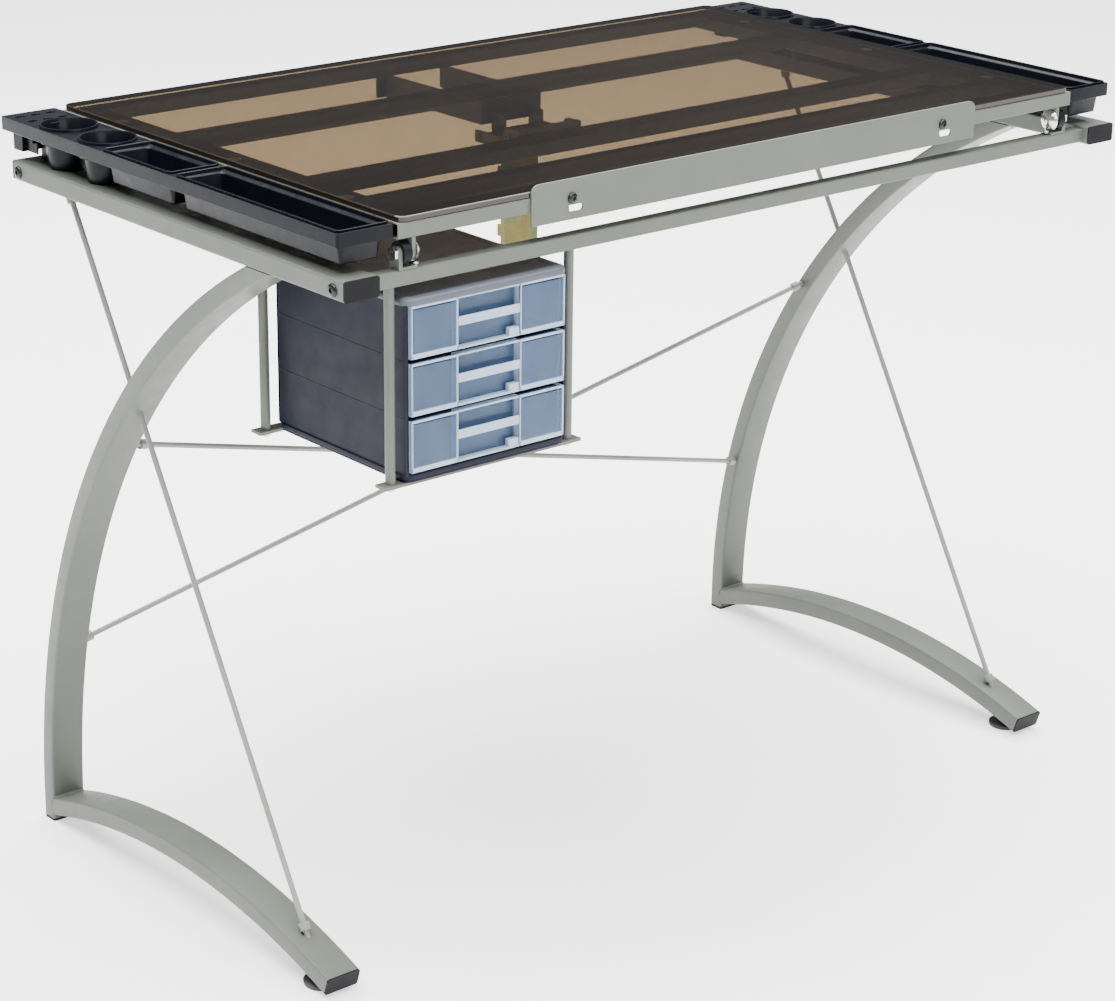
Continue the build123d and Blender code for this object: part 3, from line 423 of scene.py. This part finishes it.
# ------------------------------------------------------------------ legs and feet
def legs_and_feet():
    leg_mid = (LEG_R + LEG_RI) / 2
    foot_mid = (FOOT_R + FOOT_RI) / 2
    top_angle = math.degrees(math.asin((TUBE_LOW - LEG_Z) / LEG_RI)) + 1.0
    tip_angle = 90 + math.degrees(math.asin((FOOT_Y - FOOT_TIP_Y) / foot_mid))
    heel_angle = 90 - math.degrees(math.asin((LEG_Y + LEG_RI + 2 - FOOT_Y) / foot_mid))
    for sign, side in ((-1, "left"), (1, "right")):
        x = sign * SIDE_MID
        bm = arc_bar(x, LEG_Y, LEG_Z, leg_mid, 0, top_angle, 72, LEG_Z - SOLE_HEIGHT)
        cut_above(bm, TUBE_LOW)
        leg = finish_mesh(f"leg_{side}_shape", bm, PAINT, "base")
        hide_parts(f"leg_{side}")
        bm = arc_bar(x, FOOT_Y, FOOT_Z, foot_mid, tip_angle, heel_angle, 48)
        foot = finish_mesh(f"foot_{side}_shape", bm, PAINT, "base")
        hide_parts(f"foot_{side}")
        weld_line(side, x)


def weld_line(side, x):
    """Fillet of weld where the foot meets the front of the leg, and under the side tube."""
    foot_y = LEG_Y + math.sqrt(LEG_RI ** 2 - 28.0 ** 2)
    foot_z = FOOT_Z + math.sqrt(FOOT_R ** 2 - (foot_y - FOOT_Y) ** 2)
    bm = bmesh.new()
    ripples(bm, x - 18, x + 18, foot_y - 0.2, foot_z + 0.2, 2.2, 15)
    inner_y = LEG_Y + math.sqrt(LEG_RI ** 2 - (TUBE_LOW - LEG_Z) ** 2)
    outer_y = LEG_Y + math.sqrt(LEG_R ** 2 - (TUBE_LOW - LEG_Z) ** 2)
    ripples(bm, x - 17, x + 17, inner_y - 0.2, TUBE_LOW - 0.4, 2.0, 14)
    ripples(bm, x - 17, x + 17, outer_y + 0.4, TUBE_LOW - 0.4, 2.0, 14)
    weld = finish_mesh(f"weld_{side}", bm, PAINT, "base", 80)


def ripples(bm, x0, x1, y, z, r, count):
    """Overlapping flattened beads in a row along X."""
    for k in range(count):
        cx = x0 + (x1 - x0) * (k + 0.5) / count
        wobble = 0.25 * math.sin(k * 2.1)
        matrix = Matrix.Translation((cx, y, z)) @ Matrix.Diagonal((1.0, 0.9, 0.8, 1.0))
        bmesh.ops.create_uvsphere(bm, u_segments=10, v_segments=6, radius=r + wobble,
                                  matrix=matrix)


# ------------------------------------------------------------------ screws and pivots
def hex_dome(bm, centre, axis, r, h):
    """Button-head screw: a dome with a socket in the middle."""
    socket = r * 0.42
    profile = [(r * 0.99, 0.0), (r, h * 0.18)]
    for k in range(1, 7):
        t = math.radians(90 * k / 7)
        profile.append((socket + (r - socket) * math.cos(t), h * (0.18 + 0.82 * math.sin(t))))
    profile += [(socket * 1.02, h), (socket * 0.94, h - 0.3), (socket * 0.9, 0.46 * h)]
    lathe_into(bm, profile, centre, axis, 24)


def screws():
    bm = bmesh.new()
    for sign in (-1, 1):
        for y in (FRONT_RAIL_Y, REAR_RAIL_Y):
            hex_dome(bm, (sign * SIDE_OUT, y, RAIL_Z), (sign, 0, 0), 6.5, 3.0)
    frame_screws = finish_mesh("frame_screw_heads", bm, BLACK_SCREW, "base")
    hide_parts("frame_screws")
    bm = bmesh.new()
    for x in (-LEDGE_SCREW_X, LEDGE_SCREW_X):
        place = (x, LEDGE_SCREW_Y, LEDGE_SCREW_Z)
        hex_dome(bm, place, (0, -1, 0), 5.5, 2.8)
        lathe_into(bm, [(3.0, -11.0), (3.0, 0.4)], place, (0, -1, 0), 16)
    ledge_screws = finish_mesh("ledge_screw_heads", bm, BLACK_SCREW, "tilting_top")
    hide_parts("ledge_screws")
    bm = bmesh.new()
    for sign in (-1, 1):
        hex_dome(bm, (sign * 457.0, HINGE_Y, HINGE_Z), (sign, 0, 0), 5.0, 2.0)
    black_centre = finish_mesh("pivot_ends", bm, BLACK_SCREW, "base")
    bm = bmesh.new()
    for sign in (-1, 1):
        hex_dome(bm, (sign * 433.5, HINGE_Y, 750.9), (0, 0, 1), 4.0, 2.4)
    bracket_screws = finish_mesh("hinge_bracket_screws", bm, BRIGHT, "base")


# ------------------------------------------------------------------ glass
def glass():
    """Tinted sheet with a small bevel round its top edge; the edge faces are darker."""
    bevel = 0.8
    bm = bmesh.new()
    rings = []
    for inset, z in ((0.0, GLASS_LOW), (0.0, GLASS_TOP - bevel), (bevel, GLASS_TOP)):
        loop = rounded_loop(-GLASS_HALF + inset, GLASS_HALF - inset, GLASS_FRONT + inset,
                            GLASS_REAR - inset, GLASS_CORNER)
        rings.append([bm.verts.new((x, y, z)) for x, y in loop])
    ring_faces(bm, rings)
    bm.faces.new(list(reversed(rings[0])))
    bm.faces.new(rings[-1])
    top = finish_mesh("glass_sheet", bm, GLASS, "tilting_top")
    top.data.materials.append(GLASS_EDGE)
    for poly in top.data.polygons:
        poly.material_index = 0 if abs(poly.normal.z) > 0.9 else 1
    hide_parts("glass_top")


# ------------------------------------------------------------------ trays
def tray(sign, side):
    """One moulded tray: deck, skirts, two bins, two cups and a block of pencil holes."""
    def at(x):
        return sign * x

    def rect(x0, x1, y0, y1, r):
        lo, hi = sorted((at(x0), at(x1)))
        return lambda inset: rounded_loop(lo + inset, hi - inset, y0 + inset, y1 - inset,
                                          max(r - inset, 0.6))

    mid = at((TRAY_X0 + TRAY_X1) / 2)
    body = f"{side}_tray"
    front, rear = REAR - TRAY_LENGTH, REAR
    bins = ((front + 4.0, front + 267.0), (front + 278.0, front + 398.0))
    cup_y = (REAR - 82.0, REAR - 156.0)
    deck_z = TRAY_TOP - TRAY_WALL

    bm = bmesh.new()
    outer = rounded_loop(min(at(TRAY_X0), at(TRAY_X1)), max(at(TRAY_X0), at(TRAY_X1)),
                         front, rear, 3.0)
    holes = [rect(TRAY_X0 + 4.5, TRAY_X1 - 3.5, y0, y1, 5.0)(0.0) for y0, y1 in bins]
    holes += [circle_loop(mid, y, 28.0) for y in cup_y]
    pencil = []
    for row in (-1, 1):
        for column in (-1, 0, 1):
            pencil.append((mid + column * 18.0, REAR - 28.0 + row * 12.0))
    holes += [circle_loop(x, y, 6.0, 3.6, 20) for x, y in pencil]
    plate_into(bm, outer, holes, deck_z - 1.8, deck_z)
    add_bevel(finish_mesh(f"tray_deck_{side}", bm, TRAY, body), 0.5)

    bm = bmesh.new()
    skirt = [(0.0, deck_z - 0.9), (0.0, TRAY_TOP - 16.0)]
    loops = [[bm.verts.new((x, y, z)) for x, y in
              rounded_loop(min(at(TRAY_X0), at(TRAY_X1)), max(at(TRAY_X0), at(TRAY_X1)),
                           front, rear, 3.0)] for _, z in skirt]
    inner = [[bm.verts.new((x, y, z)) for x, y in
              rounded_loop(min(at(TRAY_X0), at(TRAY_X1)) + TRAY_WALL,
                           max(at(TRAY_X0), at(TRAY_X1)) - TRAY_WALL,
                           front + TRAY_WALL, rear - TRAY_WALL, 1.2)] for _, z in skirt]
    ring_faces(bm, loops)
    ring_faces(bm, inner)
    ring_faces(bm, [loops[0], inner[0]])
    ring_faces(bm, [loops[1], inner[1]])
    add_bevel(finish_mesh(f"tray_skirt_{side}", bm, TRAY, body), 0.7)

    for number, (y0, y1) in enumerate(bins):
        bm = bmesh.new()
        make = rect(TRAY_X0 + 3.0, TRAY_X1 - 2.0, y0 - 1.5, y1 + 1.5, 6.0)
        low = rect(TRAY_X0 + 10.5, TRAY_X1 - 8.0, y0 + 3.0, y1 - 3.0, 5.0)
        well_into(bm, [(make, 0.0, TRAY_TOP), (make, 0.6, TRAY_TOP - 4.0),
                       (low, -2.0, TRAY_TOP - 6.0), (low, 2.0, TRAY_TOP - 34.0),
                       (low, 4.0, TRAY_TOP - 35.0)], TRAY_WALL)
        add_bevel(finish_mesh(f"tray_bin_{side}_{number}", bm, TRAY, body), 0.6)

    for number, y in enumerate(cup_y):
        bm = bmesh.new()
        ring = [(30.0, TRAY_TOP - 18.0), (30.0, TRAY_TOP - 0.8), (29.4, TRAY_TOP + 0.6),
                (28.4, TRAY_TOP + 0.6), (27.6, TRAY_TOP - 0.8), (24.6, TRAY_TOP - 10.0),
                (20.0, CUP_FLOOR + 4.0), (18.5, CUP_FLOOR + 2.7), (0.0, CUP_FLOOR + 2.7)]
        outside = [(0.0, CUP_FLOOR), (20.5, CUP_FLOOR), (22.0, CUP_FLOOR + 1.1), (25.5, TRAY_TOP - 16.0),
                   (25.5, TRAY_TOP - 17.9)]
        lathe_open(bm, outside + ring, (mid, y, 0.0), 56)
        finish_mesh(f"tray_cup_{side}_{number}", bm, TRAY, body, 40)

    bm = bmesh.new()
    lo, hi = sorted((at(TRAY_X0 + 4.0), at(TRAY_X1 - 4.0)))
    box_into(bm, lo, hi, REAR - 56.0, REAR - 54.0, TRAY_TOP - 22.0, deck_z - 1.0)
    box_into(bm, lo + 2.0, hi - 2.0, REAR - 32.0, REAR - 30.0, TRAY_TOP - 35.0, deck_z - 1.0)
    box_into(bm, lo + 2.0, hi - 2.0, REAR - 16.0, REAR - 14.0, TRAY_TOP - 35.0, deck_z - 1.0)
    for x in (lo + 2.0, hi - 4.0):
        box_into(bm, x, x + 2.0, REAR - 30.5, REAR - 15.5, TRAY_TOP - 35.0, deck_z - 1.0)
    box_into(bm, mid - 8.0, mid + 8.0, REAR - 52.0, REAR - 38.0, 752.6, deck_z - 1.0)
    for x in (lo + 6.0, hi - 8.0):
        box_into(bm, x, x + 2.0, REAR - 54.5, REAR - 31.0, TRAY_TOP - 34.0, deck_z - 1.0)
    add_bevel(finish_mesh(f"tray_ribs_{side}", bm, TRAY, body), 0.4)

    bm = bmesh.new()
    for x, y in pencil:
        lathe_open(bm, [(5.2, TRAY_TOP - 20.0), (5.2, deck_z - 1.0), (4.4, deck_z - 1.0),
                        (4.4, TRAY_TOP - 18.0), (0.0, TRAY_TOP - 18.0)], (x, y, 0.0), 20)
    finish_mesh(f"tray_sockets_{side}", bm, TRAY, body)
    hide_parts(f"tray_bins_{side}")
    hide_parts(f"tray_rack_{side}")


def lathe_open(bm, profile, centre, steps):
    """Turn a profile about Z without end caps."""
    rings = []
    for r, z in profile:
        rings.append([bm.verts.new((centre[0] + max(r, 0.01) * math.cos(2 * math.pi * k / steps),
                                    centre[1] + max(r, 0.01) * math.sin(2 * math.pi * k / steps),
                                    z)) for k in range(steps)])
    ring_faces(bm, rings)


# ------------------------------------------------------------------ drawers
def drawer(number, body):
    """Clear drawer: thin tub, framed front, grip recess with a pull, finger lip."""
    x0, x1 = CASE_X0 + 4.0, CASE_X1 - 4.0
    y0, y1 = CASE_Y0, CASE_Y1 - 7.0
    z0 = TOP_DRAWER_Z - DRAWER_PITCH * number
    z1 = z0 + DRAWER_HEIGHT
    mid = (CASE_X0 + CASE_X1) / 2
    g0, g1 = mid - 37.0, mid + 37.0
    node = f"drawer_{number + 1}"

    bm = bmesh.new()
    box_into(bm, x0, x0 + 1.6, y0 + 10, y1, z0, z1 - 1.5)
    box_into(bm, x1 - 1.6, x1, y0 + 10, y1, z0, z1 - 1.5)
    box_into(bm, x0, x1, y1 - 1.6, y1, z0, z1 - 1.5)
    box_into(bm, x0, x1, y0 + 10, y1, z0, z0 + 1.6)
    box_into(bm, x0 + 4, x1 - 4, y0 + 9.0, y0 + 10.4, z0, z1 - 2.0)
    for lo, hi in ((x0, g0), (g1, x1)):
        box_into(bm, lo + 1.5, hi - 1.0, y0 + 0.6, y0 + 2.0, z0 + 4.0, z1 - 4.0)
    box_into(bm, g0 + 1, g1 - 1, y0 + 8.0, y0 + 9.4, z0 + 3.0, z1 - 3.0)
    tub = add_bevel(finish_mesh(f"{node}_tub", bm, DRAWER, body), 0.3)

    bm = bmesh.new()
    edge = 2.2
    for lo, hi in ((x0, g0), (g1, x1)):
        box_into(bm, lo, hi, y0, y0 + 2.6, z1 - edge, z1)
        box_into(bm, lo, hi, y0, y0 + 2.6, z0, z0 + 4.6)
        box_into(bm, lo, lo + edge, y0, y0 + 2.6, z0, z1)
        box_into(bm, hi - edge, hi, y0, y0 + 2.6, z0, z1)
        box_into(bm, lo, lo + 1.4, y0, y0 + 10.0, z0, z1)
        box_into(bm, hi - 1.4, hi, y0, y0 + 10.0, z0, z1)
    box_into(bm, g0, g1, y0 + 0.3, y0 + 9.0, z1 - 1.6, z1)
    box_into(bm, g0, g1, y0, y0 + 1.8, z0 + 0.45 * DRAWER_HEIGHT, z0 + 0.62 * DRAWER_HEIGHT)
    box_into(bm, g0, g1, y0, y0 + 9.0, z0, z0 + 1.6)
    box_into(bm, g0 + 62, g1, y0 + 1.0, y0 + 7.0, z0 + 1.0, z0 + 9.0)
    box_into(bm, x0, x0 + 2.0, y0 + 9, y1, z1 - 2.4, z1 - 0.6)
    box_into(bm, x1 - 2.0, x1, y0 + 9, y1, z1 - 2.4, z1 - 0.6)
    box_into(bm, x0, x1, y1 - 2.0, y1, z1 - 2.4, z1 - 0.6)
    trim = add_bevel(finish_mesh(f"{node}_edges", bm, DRAWER_EDGE, body), 0.5, 3)
    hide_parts(node)


def case():
    """Housing of the drawers: rolled lid, ribbed sides, open front and raised base."""
    x0, x1, y0, y1 = CASE_X0, CASE_X1, CASE_Y0, CASE_Y1
    bm = bmesh.new()
    rings = []
    for inset, z in ((1.6, 714.2), (0.2, 714.2), (0.0, 714.8), (0.0, 717.4), (0.6, 719.3),
                     (2.2, 720.6), (4.6, 721.0), (9.0, 721.0), (11.0, 720.4), (13.0, 720.4)):
        loop = rounded_loop(x0 - 1.5 + inset, x1 + 1.5 - inset, y0 + inset, y1 + 1.5 - inset,
                            max(12.0 - inset, 2.0), 8)
        rings.append([bm.verts.new((x, y, z)) for x, y in loop])
    ring_faces(bm, rings)
    bm.faces.new(list(reversed(rings[0])))
    bm.faces.new(rings[-1])
    # the lid takes the lighter copy of the case plastic, a painted sheen on its top
    lid = finish_mesh("case_lid_shape", bm, CASE_PAINTED_SHEEN, "base", 50)
    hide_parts("case_lid")

    bm = bmesh.new()
    front = y0 + 3.0
    for lo, hi in ((x0, x0 + 3.0), (x1 - 3.0, x1)):
        box_into(bm, lo, hi, front, y1, 548.5, 714.6)
    box_into(bm, x0, x1, y1 - 3.0, y1, 548.5, 714.6)
    for z in (660.6, 604.8):
        for lo, hi in ((x0 + 2.5, x0 + 13.0), (x1 - 13.0, x1 - 2.5)):
            box_into(bm, lo, hi, front + 12, y1 - 2.0, z, z + 1.6)
    for z in (604.0, 660.0):
        for x in (x0 - 0.35, x1 - 0.15):
            box_into(bm, x, x + 0.5, front + 6, y1 - 1.0, z, z + 0.8)
    shell = add_bevel(finish_mesh("case_walls", bm, CASE, "base"), 0.8)
    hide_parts("case_body")

    bm = bmesh.new()
    for inset, lo_z, hi_z in ((0.0, 544.0, 549.0), (1.2, 541.0, 544.0)):
        rings = []
        for z in (lo_z, hi_z):
            loop = rounded_loop(x0 - 1.5 + inset, x1 + 1.5 - inset, y0 + 2.0 + inset,
                                y1 + 1.5 - inset, 10.0, 6)
            rings.append([bm.verts.new((x, y, z)) for x, y in loop])
        ring_faces(bm, rings)
        bm.faces.new(list(reversed(rings[0])))
        bm.faces.new(rings[-1])
    floor = add_bevel(finish_mesh("case_floor", bm, CASE, "base"), 0.8)
    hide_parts("case_base")


# ------------------------------------------------------------------ levellers
def levellers():
    for sign, side in ((-1, "left"), (1, "right")):
        profile = [(15.0, 0.0), (19.2, 0.4), (20.0, 2.0), (20.0, 4.6), (18.6, 5.6), (8.0, 6.8),
                   (6.0, 7.0), (4.0, 7.6), (4.0, 28.0)]
        pad = lathe(f"leveller_{side}_pad", profile, (sign * SIDE_MID, LEVELLER_Y, 0.0),
                    (0, 0, 1), RUBBER, f"{side}_leveller", 40)
        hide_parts(f"leveller_{side}")


legs_and_feet()
screws()
glass()
tray(-1, "left")
tray(1, "right")
for count, drawer_body in enumerate(("top_drawer", "middle_drawer", "low_drawer")):
    drawer(count, drawer_body)
case()
levellers()


# ------------------------------------------------------------------ camera, light and floor
def camera():
    """Stands at the front left, above the table, with a long lens."""
    place = Vector((-2.0749, -2.4411, 1.5094))
    turn, tip, roll = 0.700, -0.3505, 0.0117
    forward = Vector((math.sin(turn) * math.cos(tip), math.cos(turn) * math.cos(tip),
                      math.sin(tip)))
    right = forward.cross(Vector((0, 0, 1))).normalized()
    up = right.cross(forward)
    right2 = right * math.cos(roll) + up * math.sin(roll)
    up2 = -right * math.sin(roll) + up * math.cos(roll)
    data = bpy.data.cameras.new("camera")
    data.sensor_width = 36.0
    data.lens = 98.25
    obj = bpy.data.objects.new("camera", data)
    obj.matrix_world = Matrix(((right2.x, up2.x, -forward.x, place.x),
                               (right2.y, up2.y, -forward.y, place.y),
                               (right2.z, up2.z, -forward.z, place.z),
                               (0, 0, 0, 1)))
    bpy.context.scene.collection.objects.link(obj)
    bpy.context.scene.camera = obj


def area_light(name, place, target, size, power, colour=(1, 1, 1)):
    data = bpy.data.lights.new(name, "AREA")
    data.shape = "RECTANGLE"
    data.size, data.size_y = size
    data.energy = power
    data.color = colour
    obj = bpy.data.objects.new(name, data)
    obj.location = place
    obj.rotation_euler = (Vector(target) - Vector(place)).to_track_quat("-Z", "Y").to_euler()
    bpy.context.scene.collection.objects.link(obj)


def studio():
    n = Nodes("floor")
    speck = n.noise(30.0, 3.0)
    colour = n.ramp(speck, [(0.3, (0.78, 0.78, 0.78)), (0.7, (0.80, 0.80, 0.80))])
    rough = n.spread(speck, 0.75, 0.85)
    material = n.output(n.principled(colour, rough, 0.0, None,
                                     Emission_Color=(1.0, 1.0, 1.0, 1.0),
                                     Emission_Strength=1.1))
    bm = bmesh.new()
    box_into(bm, -14, 14, -14, 14, -0.02, 0.0)
    mesh = bpy.data.meshes.new("floor")
    bm.to_mesh(mesh)
    bm.free()
    mesh.materials.append(material)
    floor = bpy.data.objects.new("floor", mesh)
    bpy.context.scene.collection.objects.link(floor)

    world = bpy.data.worlds.new("studio")
    world.use_nodes = True
    background = world.node_tree.nodes["Background"]
    background.inputs["Color"].default_value = (0.96, 0.97, 1.0, 1.0)
    background.inputs["Strength"].default_value = 0.25
    bpy.context.scene.world = world
    area_light("key", (-0.6, -3.6, 2.4), (0, 0, 0.5), (2.4, 1.8), 85)
    area_light("fill", (-3.2, -0.6, 2.0), (0, 0, 0.5), (2.0, 2.0), 6)
    area_light("top", (0.2, 0.4, 4.4), (0.2, 0.4, 0.0), (6.5, 6.0), 1700)


camera()
studio()
